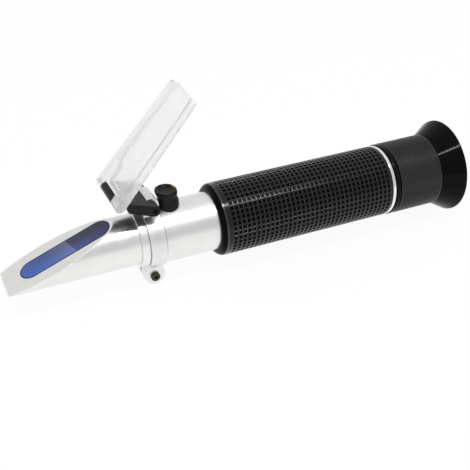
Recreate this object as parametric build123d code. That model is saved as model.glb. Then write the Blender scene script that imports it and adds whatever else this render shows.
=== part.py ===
from build123d import *
import os
from math import atan2, cos, degrees, hypot, sin, sqrt

# Handheld honey refractometer with a hinged daylight plate, in millimetres.
# The optical axis is X and +X points out of the eyepiece. The origin is the centre of
# the eyecup's rim. +Z is the side of the sample face, the hinge and the calibration cap.

# Eyecup and focus ring
rim_radius = 18.6
rim_land_radius = 15.9
rim_land_length = 3.0
rim_round = 0.7
eyecup_length = 8.7
eyecup_neck_radius = 13.6
eyecup_throat_radius = 10.6
eyecup_spigot_radius = 12.4
eyecup_spigot_length = 1.9
focus_ring_radius = 14.3
focus_ring_length = 18.8
focus_ring_chamfer = 0.4
focus_web_thickness = 1.85
focus_guide_radius = 11.65
focus_guide_length = 11.6

# Eyepiece lens barrel, which slides while the focus ring turns
focus_travel = 3.0
lens_barrel_radius = 9.6
lens_barrel_flange_radius = 10.7
lens_barrel_flange_length = 1.5
lens_barrel_nose_radius = 8.8
lens_barrel_bore = 7.8
lens_barrel_front_length = 23.5
lens_barrel_lip = 1.0
field_lens_thickness = 3.2
eye_lens_thickness = 4.4
lens_bulge = 1.1
lens_edge_step = 0.8
lens_ring_length = 1.6
clip_thickness = 0.8
clip_outer_radius = 10.0
clip_groove_depth = 0.5
guide_pin_radius = 1.0
guide_slot_clearance = 0.1
guide_slot_depth = 1.0

# Eyepiece mount, trim ring, grip and inner tube
mount_lip_length = 2.3
mount_lip_radius = 14.3
mount_spigot_length = 8.0
trim_ring_length = 1.3
trim_ring_radius = 13.95
grip_length = 72.6
grip_radius = 14.0
grip_front_round = 2.4
grip_rear_round = 0.6
inner_tube_radius = 12.2
inner_tube_bore = 10.6
inner_tube_front_offset = 4.0
inner_tube_spigot_length = 6.5
inner_tube_spigot_wall = 1.2

# Reticle and light baffle inside the inner tube
reticle_gap = 0.55
reticle_thickness = 1.5
reticle_radius = 9.2
reticle_ring_length = 1.2
reticle_holder_length = 9.0
reticle_window_radius = 8.0
baffle_distance = 32.0
baffle_length = 2.0
baffle_hole_radius = 6.4

# Rear tube
rear_tube_radius = 11.2
rear_tube_wall = 1.8
rear_tube_bore = rear_tube_radius - rear_tube_wall
rear_tube_visible_length = 30.2
collar_taper = 0.6
collar_nose_radius = rear_tube_radius - collar_taper
collar_length = 2.6
ring_seat_depth = 0.7
ring_seat_radius = rear_tube_radius - ring_seat_depth

# Front barrel with the oblique sample face
front_barrel_step = 0.25
front_barrel_radius = rear_tube_bore + front_barrel_step
front_barrel_length = 48.5
front_spigot_length = 6.4
light_bore_radius = 6.0
tip_height = -6.25
face_end_setback = 7.5
seal_ring_section = 0.6
seal_ring_station = 3.2

# Main prism and its seal, measured along the sample face from the tip
window_start = 6.4
window_back_margin = 1.4
window_half_width = 4.7
prism_border = 0.45
prism_seal_depth = 1.0
prism_floor_depth = 0.75
prism_back_margin = 0.2

# Clamp ring with its hinge lug, ears and screw
clamp_width = 6.0
clamp_wall = 1.4
clamp_radius = ring_seat_radius + clamp_wall
clamp_groove = 0.3
clamp_split = 0.9
ear_half_width = 4.75
ear_radius = 4.0
ear_reach = 3.0
ear_centre_drop = clamp_radius + ear_reach
clamp_screw_drop = ear_centre_drop + 0.6
clamp_screw_radius = 1.1
clamp_screw_head_radius = 1.75
clamp_screw_head_height = 0.9
hex_socket_radius = 0.85
hex_socket_depth = 0.6
clamp_nut_radius = 2.1
clamp_nut_height = 1.4
lug_half_width = 4.6
lug_radius = 2.9
hinge_stand = 3.5
hinge_height = clamp_radius + hinge_stand
hinge_pin_radius = 0.9

# Lid bracket, a black fork on the hinge lug
bracket_half_width = 9.0
bracket_arm_radius = 2.05
bracket_front_reach = 10.2
bracket_front_top = 1.05
bracket_front_depth = 2.4
bracket_front_bevel = 1.1
bracket_barrel_radius = 1.7
bracket_barrel_half_width = 5.4
bracket_neck_start = 9.0
bracket_edge_round = 0.35
bracket_open_angle = 40.0
pin_end_recess = 0.3

# Daylight plate
lid_tip_overhang = 1.0
lid_tip_half_width = 8.95
lid_hinge_half_width = 10.8
lid_tip_round = 2.0
lid_plate_thickness = 1.6
lid_face_gap = 0.35
lid_pin_offset = 1.5
lid_pin_setback = 8.2
lid_pin_radius = 0.75
lid_rim_height_hinge = 3.9
lid_rim_height_tip = 3.4
lid_rim_width = 1.5
lid_ear_length = 10.0
lid_end_rib = 1.4
lid_open_angle = 111.7

# Calibration screw, its bush and rubber cap
screw_behind_ring = 5.0
bush_radius = 3.0
bush_height = 3.6
bush_top = rear_tube_radius + bush_height
bush_spigot_radius = 2.3
bush_spigot_overhang = 0.5
screw_shank_radius = 1.5
screw_head_radius = 2.2
screw_head_height = 1.3
screw_seat_depth = 1.6
screw_slot_width = 0.7
screw_slot_depth = 0.7
screw_point_radius = 1.1
cap_radius = 4.0
cap_lip_radius = 4.2
cap_waist_radius = 3.8
cap_lip_height = 1.5
cap_over_bush = 3.2
cap_top = bush_top + cap_over_bush
cap_roof = 1.7
cap_dish_depth = 0.7
cap_dish_radius = 3.1
cap_soft_round = 0.5

# Moving lens cell behind the calibration screw
cell_side_room = 1.1
cell_radius = rear_tube_bore - cell_side_room
cell_length = 8.0
cell_travel = 0.5
cell_thread_depth = 1.9
cell_wall = 2.3
objective_radius = cell_radius - cell_wall
objective_thickness = 3.6
objective_bulge = 0.9
objective_ring_length = 1.2
objective_ring_width = 0.7
guide_post_radius = 0.8
guide_post_inset = 1.1
guide_post_embed = 0.76
strip_thickness = 0.4
strip_width = 4.0
strip_length = 8.0
strip_clearance = 0.5
rivet_radius = 0.6
rivet_head_radius = 1.1
rivet_head_height = 0.4

# Clearances
seat_clearance = 0.02
running_clearance = 0.05
side_gap = 0.3
end_gap = 0.05
ring_rest_gap = 0.3

# Stations along the axis, from the rim forwards
x_ring_end = -eyecup_length
x_ring_front = x_ring_end - focus_ring_length
x_lip_end = x_ring_front - ring_rest_gap
x_lip_front = x_lip_end - mount_lip_length
x_grip_end = x_lip_front - trim_ring_length
x_grip_front = x_grip_end - grip_length
x_tube_front = x_grip_front - rear_tube_visible_length
x_tip = x_tube_front - front_barrel_length
x_tube_end = x_grip_front + inner_tube_front_offset
x_clamp_front = x_tube_front + collar_length + clamp_groove
x_clamp_end = x_clamp_front + clamp_width
x_hinge = (x_clamp_front + x_clamp_end) / 2
x_screw = x_clamp_end + screw_behind_ring
x_web_end = x_ring_end - eyecup_spigot_length - end_gap
x_web_front = x_web_end - focus_web_thickness
x_flange_end = x_web_front - end_gap
x_barrel_front = x_flange_end - lens_barrel_flange_length - lens_barrel_front_length
x_mount_front = x_lip_front - mount_spigot_length

face_run = front_barrel_length - face_end_setback
face_rise = front_barrel_radius - tip_height
face_length = hypot(face_run, face_rise)
slope = atan2(face_rise, face_run)
FACE = Plane(
    origin=(x_tip, 0, tip_height),
    x_dir=(cos(slope), 0, sin(slope)),
    z_dir=(-sin(slope), 0, cos(slope)),
)


def save(node, shape):
    """Write one node's solid as a STEP file."""
    export_step(shape, f"parts/{node}.step")


def rod(x_from, x_to, radius):
    """A round bar on the optical axis."""
    return Pos((x_from + x_to) / 2, 0, 0) * Rot(0, 90, 0) * Cylinder(radius, x_to - x_from)


def tube(x_from, x_to, outer, inner):
    """A round tube on the optical axis."""
    return rod(x_from, x_to, outer) - rod(x_from, x_to, inner)


def turned(*outline):
    """A body of revolution about X from (x, radius) points."""
    edge = Polyline(*[(x, 0, radius) for x, radius in outline], close=True)
    return revolve(make_face(edge), Axis.X)


def post(x, y, z_from, z_to, radius):
    """An upright round bar."""
    return Pos(x, y, (z_from + z_to) / 2) * Cylinder(radius, z_to - z_from)


def cross_bar(x, z, y_from, y_to, radius):
    """A round bar across the instrument, along Y."""
    return Pos(x, (y_from + y_to) / 2, z) * Rot(90, 0, 0) * Cylinder(radius, y_to - y_from)


def slab(x_from, x_to, y_from, y_to, z_from, z_to):
    """A rectangular block between two corners."""
    centre = Pos((x_from + x_to) / 2, (y_from + y_to) / 2, (z_from + z_to) / 2)
    return centre * Box(x_to - x_from, y_to - y_from, z_to - z_from)


def across(outline, y_from, y_to):
    """A prism across the instrument from a closed outline of (x, z) points."""
    face = make_face(Polyline(*[(x, y_to, z) for x, z in outline], close=True))
    return extrude(face, amount=y_to - y_from, dir=(0, -1, 0))


def swing(shape, x, z, angle):
    """Turn a shape about a cross axis: a positive angle lifts what lies towards the tip."""
    return Pos(x, 0, z) * Rot(0, angle, 0) * Pos(-x, 0, -z) * shape


def obround(start, end, half_width, depth):
    """A round-ended bar let into the sample face."""
    outline = Pos((start + end) / 2, 0) * SlotOverall(end - start, 2 * half_width)
    return extrude(FACE * outline, amount=-depth)


# Front barrel

barrel_top = 2 * front_barrel_radius
prism_depth = barrel_top + front_barrel_radius
x_prism_back = x_tip + face_run + prism_back_margin
x_seal_ring = x_tube_front + seal_ring_station
prism_zone = slab(
    x_tip,
    x_prism_back,
    -front_barrel_radius,
    front_barrel_radius,
    tip_height - prism_floor_depth,
    barrel_top,
)
window_end = face_length - window_back_margin
prism_start = window_start + prism_border
prism_end = window_end - prism_border
prism_half_width = window_half_width - prism_border


def prism_block(clearance):
    """The wedge of glass under the sample face, or its pocket."""
    block = obround(
        prism_start - clearance, prism_end + clearance, prism_half_width + clearance, prism_depth
    )
    return block & prism_zone


def front_barrel():
    """The slanted metal nose that holds the prism."""
    body = rod(x_tip, x_tube_front, front_barrel_radius)
    body += rod(
        x_tube_front, x_tube_front + front_spigot_length, rear_tube_bore - seat_clearance
    )
    cutter = Pos(face_length / 2, 0, barrel_top / 2)
    body -= FACE * cutter * Box(2 * face_length, 2 * barrel_top, barrel_top)
    body -= obround(window_start, window_end, window_half_width, prism_seal_depth)
    body -= prism_block(seat_clearance)
    body -= rod(x_prism_back, x_tube_front + front_spigot_length, light_bore_radius)
    return body - tube(
        x_seal_ring - seal_ring_section - end_gap,
        x_seal_ring + seal_ring_section + end_gap,
        rear_tube_bore,
        rear_tube_bore - 2 * seal_ring_section - end_gap,
    )


def seal_ring():
    """The rubber ring in the groove of the front barrel's spigot."""
    section_centre = rear_tube_bore - seal_ring_section
    return Pos(x_seal_ring, 0, 0) * Rot(0, 90, 0) * Torus(section_centre, seal_ring_section)


def prism_seal():
    """The dark border that seals the prism into the face."""
    ring = obround(window_start, window_end, window_half_width, prism_seal_depth)
    return ring - prism_block(0)


pieces = {
    "front_barrel": front_barrel(),
    "main_prism": prism_block(0),
    "prism_seal": prism_seal(),
    "barrel_seal_ring": seal_ring(),
}


# Rear tube and inner tube

cell_front = x_screw - cell_length / 2
cell_end = x_screw + cell_length / 2
guide_post_offset = cell_radius - guide_post_inset
guide_post_reach = sqrt(rear_tube_bore**2 - guide_post_offset**2) + guide_post_embed
post_places = [(x_screw, side * guide_post_offset) for side in (-1, 1)]
strip_front = cell_end + side_gap
strip_end = strip_front + strip_length
x_rivet = strip_end - strip_width / 2


def guide_posts():
    """Two posts that the lens cell slides on."""
    return [
        post(x, y, -guide_post_reach, guide_post_reach, guide_post_radius) for x, y in post_places
    ]


def rear_tube():
    """The metal tube between the nose and the grip."""
    x_seat_front = x_tube_front + collar_length
    x_seat_end = x_clamp_end + clamp_groove
    body = turned(
        (x_tube_front, 0),
        (x_tube_front, collar_nose_radius),
        (x_seat_front, rear_tube_radius),
        (x_seat_front, ring_seat_radius),
        (x_seat_end, ring_seat_radius),
        (x_seat_end, rear_tube_radius),
        (x_tube_end, rear_tube_radius),
        (x_tube_end, 0),
    )
    body -= rod(x_tube_front, x_tube_end, rear_tube_bore)
    body -= post(x_screw, 0, 0, bush_top, bush_spigot_radius + seat_clearance)
    for guide_post in guide_posts():
        body -= guide_post
    body -= post(x_rivet, 0, -rear_tube_radius, 0, rivet_radius)
    return body


def inner_tube():
    """The tube under the grip."""
    x_spigot_front = x_tube_end - inner_tube_spigot_length
    body = rod(x_spigot_front, x_tube_end, rear_tube_bore - seat_clearance)
    body += rod(x_tube_end, x_lip_front, inner_tube_radius)
    body -= rod(x_spigot_front, x_lip_front, rear_tube_bore - inner_tube_spigot_wall)
    body -= rod(x_tube_end + inner_tube_front_offset, x_lip_front, inner_tube_bore)
    return body


def rubber_grip():
    """The rubber sleeve over both tubes."""
    body = rod(x_grip_front, x_grip_end, grip_radius)
    body = fillet(body.edges().filter_by(GeomType.CIRCLE).sort_by(Axis.X)[0], grip_front_round)
    body = fillet(body.edges().filter_by(GeomType.CIRCLE).sort_by(Axis.X)[-1], grip_rear_round)
    body -= rod(x_grip_front, x_tube_end, rear_tube_radius + seat_clearance)
    body -= rod(x_tube_end, x_grip_end, inner_tube_radius + seat_clearance)
    return body


def trim_ring():
    """The bright ring behind the grip."""
    return tube(x_grip_end, x_lip_front, trim_ring_radius, inner_tube_radius + seat_clearance)


pieces["rear_tube"] = rear_tube()
pieces["inner_tube"] = inner_tube()
pieces["rubber_grip"] = rubber_grip()
pieces["trim_ring"] = trim_ring()


# Reticle and baffle

x_holder_end = x_barrel_front - reticle_gap
x_holder_front = x_holder_end - reticle_holder_length
x_reticle = x_holder_front + reticle_ring_length
sleeve_radius = inner_tube_bore - seat_clearance


def reticle_holder():
    """The sleeve with the recess for the reticle."""
    x_recess_end = x_reticle + reticle_thickness
    body = tube(x_holder_front, x_holder_end, sleeve_radius, reticle_window_radius)
    return body - rod(x_holder_front, x_recess_end, reticle_radius + seat_clearance)


def light_baffle():
    """The ring that stops stray light."""
    x_end = x_lip_front - baffle_distance
    return tube(x_end - baffle_length, x_end, sleeve_radius, baffle_hole_radius)


pieces["reticle_holder"] = reticle_holder()
pieces["reticle"] = rod(x_reticle, x_reticle + reticle_thickness, reticle_radius)
pieces["reticle_ring"] = tube(x_holder_front, x_reticle, reticle_radius, reticle_window_radius)
pieces["light_baffle"] = light_baffle()


# Eyepiece mount, lens barrel and focus ring

x_guide_pin = x_lip_front - mount_spigot_length / 4
guide_pin_inner = lens_barrel_radius - guide_slot_depth + side_gap


def guide_pin():
    """The pin that keeps the lens barrel from turning."""
    length = sleeve_radius - guide_pin_inner
    middle = (sleeve_radius + guide_pin_inner) / 2
    return Pos(x_guide_pin, middle, 0) * Rot(90, 0, 0) * Cylinder(guide_pin_radius, length)


def eyepiece_mount():
    """The fixed carrier of the eyepiece, with the smooth black lip."""
    body = rod(x_mount_front, x_lip_front, sleeve_radius)
    body += rod(x_lip_front, x_lip_end, mount_lip_radius)
    body += rod(x_lip_end, x_lip_end + focus_guide_length, focus_guide_radius)
    body -= rod(
        x_mount_front, x_lip_end + focus_guide_length, lens_barrel_radius + running_clearance
    )
    return body - guide_pin()


def lens_barrel():
    """The sliding barrel that holds both eyepiece lenses."""
    x_nose_end = x_web_end + end_gap + clip_thickness + end_gap
    body = rod(x_barrel_front, x_flange_end, lens_barrel_radius)
    body += rod(x_flange_end - lens_barrel_flange_length, x_flange_end, lens_barrel_flange_radius)
    body += rod(x_flange_end, x_nose_end, lens_barrel_nose_radius)
    body -= rod(x_barrel_front + lens_barrel_lip, x_nose_end, lens_barrel_bore)
    body -= rod(x_barrel_front, x_nose_end, lens_barrel_bore - lens_edge_step)
    body -= tube(
        x_web_end + end_gap,
        x_web_end + end_gap + clip_thickness,
        clip_outer_radius,
        lens_barrel_nose_radius - clip_groove_depth,
    )
    slot_width = 2 * (guide_pin_radius + guide_slot_clearance)
    slot = slab(
        x_guide_pin - focus_travel - slot_width / 2,
        x_guide_pin + slot_width / 2,
        lens_barrel_radius - guide_slot_depth,
        lens_barrel_radius + guide_slot_depth,
        -slot_width / 2,
        slot_width / 2,
    )
    return body - slot


def barrel_clip():
    """The snap ring that holds the focus ring on the lens barrel."""
    inner = lens_barrel_nose_radius - clip_groove_depth
    x_clip = x_web_end + end_gap
    body = tube(x_clip, x_clip + clip_thickness, clip_outer_radius, inner)
    gap = slab(x_clip, x_clip + clip_thickness, -1, 1, 0, clip_outer_radius)
    return body - gap


def ball_radius(radius, bulge):
    """The radius of a lens face that bulges by a height over a lens radius."""
    return (radius**2 + bulge**2) / (2 * bulge)


def face_depth(radius, bulge, seat_radius):
    """How far a lens face lies behind its vertex at a seat's radius."""
    ball = ball_radius(radius, bulge)
    return ball - sqrt(ball**2 - seat_radius**2)


def lens(x_from, thickness, radius, bulge_front, bulge_end):
    """A round glass lens with flat or spherical faces."""
    body = rod(x_from, x_from + thickness, radius)
    for bulge, x_vertex, side in ((bulge_front, x_from, 1), (bulge_end, x_from + thickness, -1)):
        if bulge > 0:
            ball = ball_radius(radius, bulge)
            body &= Pos(x_vertex + side * ball, 0, 0) * Sphere(ball)
    return body


def focus_ring():
    """The ring that the thumb turns, without its knurl."""
    body = rod(x_ring_front, x_ring_end, focus_ring_radius)
    body = chamfer(body.edges().filter_by(GeomType.CIRCLE), focus_ring_chamfer)
    body -= rod(x_ring_front, x_web_front, focus_guide_radius + running_clearance)
    body -= rod(x_web_front, x_web_end, lens_barrel_nose_radius + running_clearance)
    body -= rod(x_web_end, x_ring_end, eyecup_spigot_radius + seat_clearance)
    return body


def eyecup():
    """The rubber cup that flares out to the rim."""
    x_spigot = x_ring_end - eyecup_spigot_length
    x_land = -rim_land_length
    body = turned(
        (x_spigot, eyecup_throat_radius),
        (x_spigot, eyecup_spigot_radius),
        (x_ring_end, eyecup_spigot_radius),
        (x_ring_end, eyecup_neck_radius),
        (-rim_round, rim_radius),
        (0, rim_radius),
        (0, rim_land_radius),
        (x_land, rim_land_radius),
        (x_ring_end, eyecup_throat_radius),
    )
    rim_circles = body.edges().filter_by(GeomType.CIRCLE).group_by(Axis.X)[-1]
    return fillet(rim_circles.sort_by(SortBy.RADIUS)[-1], rim_round / 2)


lens_fit_radius = lens_barrel_bore - seat_clearance
lens_ring_bore = lens_barrel_bore - lens_edge_step
spacer_depth = face_depth(lens_fit_radius, lens_bulge, lens_ring_bore)
x_field_lens = x_barrel_front + lens_barrel_lip
x_eye_ring = x_flange_end - lens_ring_length
x_eye_lens = x_eye_ring - eye_lens_thickness

pieces["eyepiece_mount"] = eyepiece_mount()
pieces["guide_pin"] = guide_pin()
pieces["lens_barrel"] = lens_barrel()
pieces["barrel_clip"] = barrel_clip()
pieces["field_lens"] = lens(x_field_lens, field_lens_thickness, lens_fit_radius, 0, lens_bulge)
pieces["lens_spacer"] = tube(
    x_field_lens + field_lens_thickness - spacer_depth,
    x_eye_lens + spacer_depth,
    lens_fit_radius,
    lens_ring_bore,
)
pieces["eye_lens"] = lens(x_eye_lens, eye_lens_thickness, lens_fit_radius, lens_bulge, 0)
pieces["eye_lens_ring"] = tube(x_eye_ring, x_flange_end, lens_fit_radius, lens_ring_bore)
pieces["focus_ring"] = focus_ring()
pieces["eyecup"] = eyecup()


# Clamp ring and the hinge lug

def clamp_ring():
    """The split ring with a hinge lug on top and two round ears below."""
    body = rod(x_clamp_front, x_clamp_end, clamp_radius)
    body += slab(
        x_hinge - lug_radius, x_hinge + lug_radius, -lug_half_width, lug_half_width, 0, hinge_height
    )
    body += cross_bar(x_hinge, hinge_height, -lug_half_width, lug_half_width, lug_radius)
    body += slab(
        x_clamp_front, x_clamp_end, -ear_half_width, ear_half_width, -ear_centre_drop, 0
    )
    body += cross_bar(x_hinge, -ear_centre_drop, -ear_half_width, ear_half_width, ear_radius)
    body -= rod(x_clamp_front, x_clamp_end, ring_seat_radius + seat_clearance)
    body -= slab(
        x_hinge - ear_radius,
        x_hinge + ear_radius,
        -clamp_split / 2,
        clamp_split / 2,
        -ear_centre_drop - ear_radius,
        0,
    )
    body -= cross_bar(
        x_hinge, -clamp_screw_drop, -ear_half_width, ear_half_width, clamp_screw_radius + seat_clearance
    )
    body -= cross_bar(
        x_hinge, hinge_height, -lug_half_width, lug_half_width, hinge_pin_radius + seat_clearance
    )
    return body


def clamp_screw():
    """The screw that closes the ring, with its head on the -Y side."""
    head_top = -ear_half_width - clamp_screw_head_height
    end = ear_half_width + clamp_nut_height
    body = cross_bar(x_hinge, -clamp_screw_drop, -ear_half_width, end, clamp_screw_radius)
    body += cross_bar(
        x_hinge, -clamp_screw_drop, head_top, -ear_half_width, clamp_screw_head_radius
    )
    socket = extrude(RegularPolygon(hex_socket_radius, 6), amount=hex_socket_depth)
    return body - Pos(x_hinge, head_top, -clamp_screw_drop) * Rot(-90, 0, 0) * socket


def clamp_nut():
    """The hexagon nut on the far ear."""
    nut = extrude(RegularPolygon(clamp_nut_radius, 6), amount=clamp_nut_height)
    nut = Pos(x_hinge, ear_half_width, -clamp_screw_drop) * Rot(-90, 0, 0) * nut
    return nut - cross_bar(
        x_hinge,
        -clamp_screw_drop,
        ear_half_width,
        ear_half_width + clamp_nut_height,
        clamp_screw_radius + seat_clearance,
    )


pin_reach = bracket_half_width - pin_end_recess

pieces["clamp_ring"] = clamp_ring()
pieces["clamp_screw"] = clamp_screw()
pieces["clamp_nut"] = clamp_nut()
pieces["bracket_pin"] = cross_bar(
    x_hinge, hinge_height, -pin_reach, pin_reach, hinge_pin_radius
)


# Lid bracket and daylight plate, built shut on the sample face and then swung open

lid_pin_height = lid_pin_offset + lid_face_gap
x_lid_pin = x_tube_front - lid_pin_setback
lid_pin_station = (x_lid_pin - x_tip + lid_pin_height * sin(slope)) / cos(slope)
z_lid_pin = FACE.from_local_coords(Vector(lid_pin_station, 0, lid_pin_height)).Z
lid_length = lid_pin_station + lid_tip_overhang
pin_distance = hypot(x_lid_pin - x_hinge, z_lid_pin - hinge_height)
bracket_angle = atan2(z_lid_pin - hinge_height, x_lid_pin - x_hinge)


def bracket_point(along, above):
    """A point of the shut bracket: along from hinge pin to lid pin, and above that line."""
    along_x = cos(bracket_angle)
    along_z = sin(bracket_angle)
    return (
        x_hinge + along * along_x + above * along_z,
        hinge_height + along * along_z - above * along_x,
    )


def lug_clearance(angle):
    """The room that the hinge lug takes in the shut bracket, at one opening angle."""
    radius = lug_radius + side_gap
    half_width = lug_half_width + side_gap
    room = cross_bar(x_hinge, hinge_height, -half_width, half_width, radius)
    room += slab(x_hinge - radius, x_hinge + radius, -half_width, half_width, 0, hinge_height)
    return swing(room, x_hinge, hinge_height, angle)


def lid_bracket():
    """The black fork between the clamp ring and the daylight plate."""
    front = bracket_front_reach
    depth = bracket_front_depth
    arms = across(
        [
            bracket_point(0, bracket_arm_radius),
            bracket_point(front, bracket_front_top),
            bracket_point(front + bracket_edge_round, bracket_front_bevel - depth),
            bracket_point(front - 2 * bracket_edge_round, -depth),
            bracket_point(0, -bracket_arm_radius),
        ],
        -bracket_half_width,
        bracket_half_width,
    )
    arms += cross_bar(
        x_hinge, hinge_height, -bracket_half_width, bracket_half_width, bracket_arm_radius
    )
    barrel = cross_bar(
        x_lid_pin,
        z_lid_pin,
        -bracket_barrel_half_width,
        bracket_barrel_half_width,
        bracket_barrel_radius,
    )
    half_neck = bracket_barrel_radius * 2 / 3
    neck = across(
        [
            bracket_point(bracket_neck_start, bracket_front_top),
            bracket_point(pin_distance, half_neck),
            bracket_point(pin_distance, -half_neck),
            bracket_point(bracket_neck_start, -depth),
        ],
        -bracket_barrel_half_width,
        bracket_barrel_half_width,
    )
    body = arms + neck + barrel
    body -= lug_clearance(0)
    body -= lug_clearance(-bracket_open_angle)
    body -= lug_clearance(-bracket_open_angle / 2)
    body -= cross_bar(
        x_hinge,
        hinge_height,
        -bracket_half_width,
        bracket_half_width,
        hinge_pin_radius + running_clearance,
    )
    body -= cross_bar(
        x_lid_pin,
        z_lid_pin,
        -bracket_barrel_half_width,
        bracket_barrel_half_width,
        lid_pin_radius + seat_clearance,
    )
    return body


def lid_point(along, height):
    """A point of the shut plate: along from lid pin to tip, height above its sample side."""
    local = Vector(lid_pin_station - along, 0, lid_face_gap + height)
    point = FACE.from_local_coords(local)
    return (point.X, point.Z)


def rim_height(along):
    """The height of a side rim, which falls towards the tip."""
    fall = (lid_rim_height_hinge - lid_rim_height_tip) / lid_length
    return lid_rim_height_hinge - fall * along


def lid_half_width(along):
    """Half the plate's width, which tapers towards the tip."""
    fall = (lid_hinge_half_width - lid_tip_half_width) / lid_length
    return lid_hinge_half_width - fall * along


def lid_plan(start, end, margin, tip_round=0):
    """The room over the plate's plan between two distances from the lid pin."""
    corners = [
        (lid_pin_station - along, side * (lid_half_width(along) - margin))
        for along, side in ((start, 1), (end, 1), (end, -1), (start, -1))
    ]
    outline = make_face(Polyline(*corners, close=True))
    if tip_round:
        outline = fillet(outline.vertices().sort_by(Axis.X)[:2], tip_round)
    return extrude(FACE * outline, lid_hinge_half_width, both=True)


def lid_layer(start, end, low, high, half_width):
    """A slab of the shut lid between two distances from the lid pin and two heights."""
    return across(
        [lid_point(start, low), lid_point(end, low), lid_point(end, high), lid_point(start, high)],
        -half_width,
        half_width,
    )


def daylight_plate():
    """The clear lid with its side rims, hinge rib and ears."""
    tallest = rim_height(0)
    ear_round = tallest / 2
    ear_inner = bracket_barrel_half_width + side_gap
    plate_start = bracket_barrel_radius + side_gap
    pocket_start = plate_start + lid_end_rib
    reach = lid_half_width(-tallest)
    x_ear, z_ear = lid_point(0, ear_round)
    plate = across(
        [
            lid_point(0, 0),
            lid_point(lid_length, 0),
            lid_point(lid_length, rim_height(lid_length)),
            lid_point(0, tallest),
        ],
        -reach,
        reach,
    )
    plate += cross_bar(x_ear, z_ear, -reach, reach, ear_round)
    plate &= lid_plan(-tallest, lid_length, 0, lid_tip_round)
    plate -= lid_layer(-tallest, plate_start, 0, tallest, ear_inner)
    plate -= lid_layer(pocket_start, lid_length, lid_plate_thickness, tallest, ear_inner)
    plate -= lid_layer(lid_ear_length, lid_length, lid_plate_thickness, tallest, reach) & lid_plan(
        lid_ear_length, lid_length, lid_rim_width
    )
    return plate - cross_bar(
        x_lid_pin, z_lid_pin, -reach, reach, lid_pin_radius + running_clearance
    )


def open_bracket(shape):
    """Swing what the bracket carries from shut to open."""
    return swing(shape, x_hinge, hinge_height, bracket_open_angle)


lid_pin_reach = lid_hinge_half_width - pin_end_recess
lid_pin_bar = cross_bar(x_lid_pin, z_lid_pin, -lid_pin_reach, lid_pin_reach, lid_pin_radius)

pieces["lid_bracket"] = open_bracket(lid_bracket())
pieces["lid_pin"] = open_bracket(lid_pin_bar)
pieces["daylight_plate"] = open_bracket(
    swing(daylight_plate(), x_lid_pin, z_lid_pin, lid_open_angle)
)


# Calibration screw, bush and cap

screw_seat = bush_top - screw_seat_depth
bush_bottom = rear_tube_bore - bush_spigot_overhang


def calibration_bush():
    """The bush on top of the rear tube that guides the calibration screw."""
    body = post(x_screw, 0, 0, bush_top, bush_radius)
    body -= rod(x_screw - bush_radius, x_screw + bush_radius, rear_tube_radius + seat_clearance)
    body += post(x_screw, 0, bush_bottom, screw_seat, bush_spigot_radius)
    body -= post(x_screw, 0, 0, bush_top, screw_shank_radius + running_clearance)
    return body - post(x_screw, 0, screw_seat, bush_top, screw_head_radius + running_clearance)


def calibration_screw():
    """The slotted screw that raises and lowers the lens cell."""
    head_bottom = screw_seat + end_gap
    head_top = head_bottom + screw_head_height
    shank_end = cell_radius + cell_travel + end_gap
    point_end = cell_radius - cell_thread_depth + cell_travel + end_gap
    body = post(x_screw, 0, shank_end, head_bottom, screw_shank_radius)
    body += post(x_screw, 0, head_bottom, head_top, screw_head_radius)
    body += post(x_screw, 0, point_end, shank_end, screw_point_radius)
    slot = slab(
        x_screw - screw_head_radius,
        x_screw + screw_head_radius,
        -screw_slot_width / 2,
        screw_slot_width / 2,
        head_top - screw_slot_depth,
        head_top,
    )
    return body - slot


def rubber_cap():
    """The soft cap over the calibration screw, with a dished top."""
    cap_bottom = 0
    roof = cap_top - cap_roof
    outline = [
        (cap_radius, cap_bottom),
        (cap_radius, rear_tube_radius + cap_soft_round),
        (cap_waist_radius, cap_top - 2 * cap_lip_height),
        (cap_lip_radius, cap_top - cap_lip_height),
        (cap_lip_radius, cap_top - cap_soft_round),
        (cap_lip_radius - cap_soft_round, cap_top),
        (cap_dish_radius, cap_top),
        (cap_dish_radius / 2, cap_top - cap_dish_depth),
        (0, cap_top - cap_dish_depth),
        (0, cap_bottom),
    ]
    edge = Polyline(*[(radius, 0, z) for radius, z in outline], close=True)
    body = revolve(make_face(edge), Axis.Z)
    body -= post(0, 0, cap_bottom, roof, bush_radius + running_clearance)
    body = Pos(x_screw, 0, 0) * body
    return body - rod(x_screw - cap_radius, x_screw + cap_radius, rear_tube_radius + side_gap)


pieces["calibration_bush"] = calibration_bush()
pieces["calibration_screw"] = calibration_screw()
pieces["rubber_cap"] = rubber_cap()


# Lens cell and temperature strip

strip_height = strip_clearance - rear_tube_bore


def lens_cell():
    """The carrier of the objective lens, which the calibration screw moves."""
    body = rod(cell_front, cell_end, cell_radius)
    body -= rod(cell_front, cell_end, objective_radius - objective_ring_width)
    body -= rod(cell_front + objective_ring_width, cell_end, objective_radius + seat_clearance)
    for x, y in post_places:
        body -= post(x, y, -cell_radius, cell_radius, guide_post_radius + running_clearance)
    return body - post(
        x_screw,
        0,
        cell_radius - cell_thread_depth,
        cell_radius,
        screw_point_radius + running_clearance,
    )


def temperature_strip():
    """The two-metal strip, riveted to the tube behind the lens cell."""
    half = strip_width / 2
    body = slab(strip_front, strip_end, -half, half, strip_height, strip_height + strip_thickness)
    body += slab(
        strip_end - strip_width, strip_end, -half, half, -rear_tube_bore, strip_height
    ) & rod(strip_front, strip_end, rear_tube_bore)
    return body - post(x_rivet, 0, -rear_tube_radius, 0, rivet_radius)


def strip_rivet():
    """The rivet of the temperature strip."""
    top = strip_height + strip_thickness
    body = post(x_rivet, 0, -rear_tube_bore - rivet_head_height, top, rivet_radius)
    return body + post(x_rivet, 0, top, top + rivet_head_height, rivet_head_radius)


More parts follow.
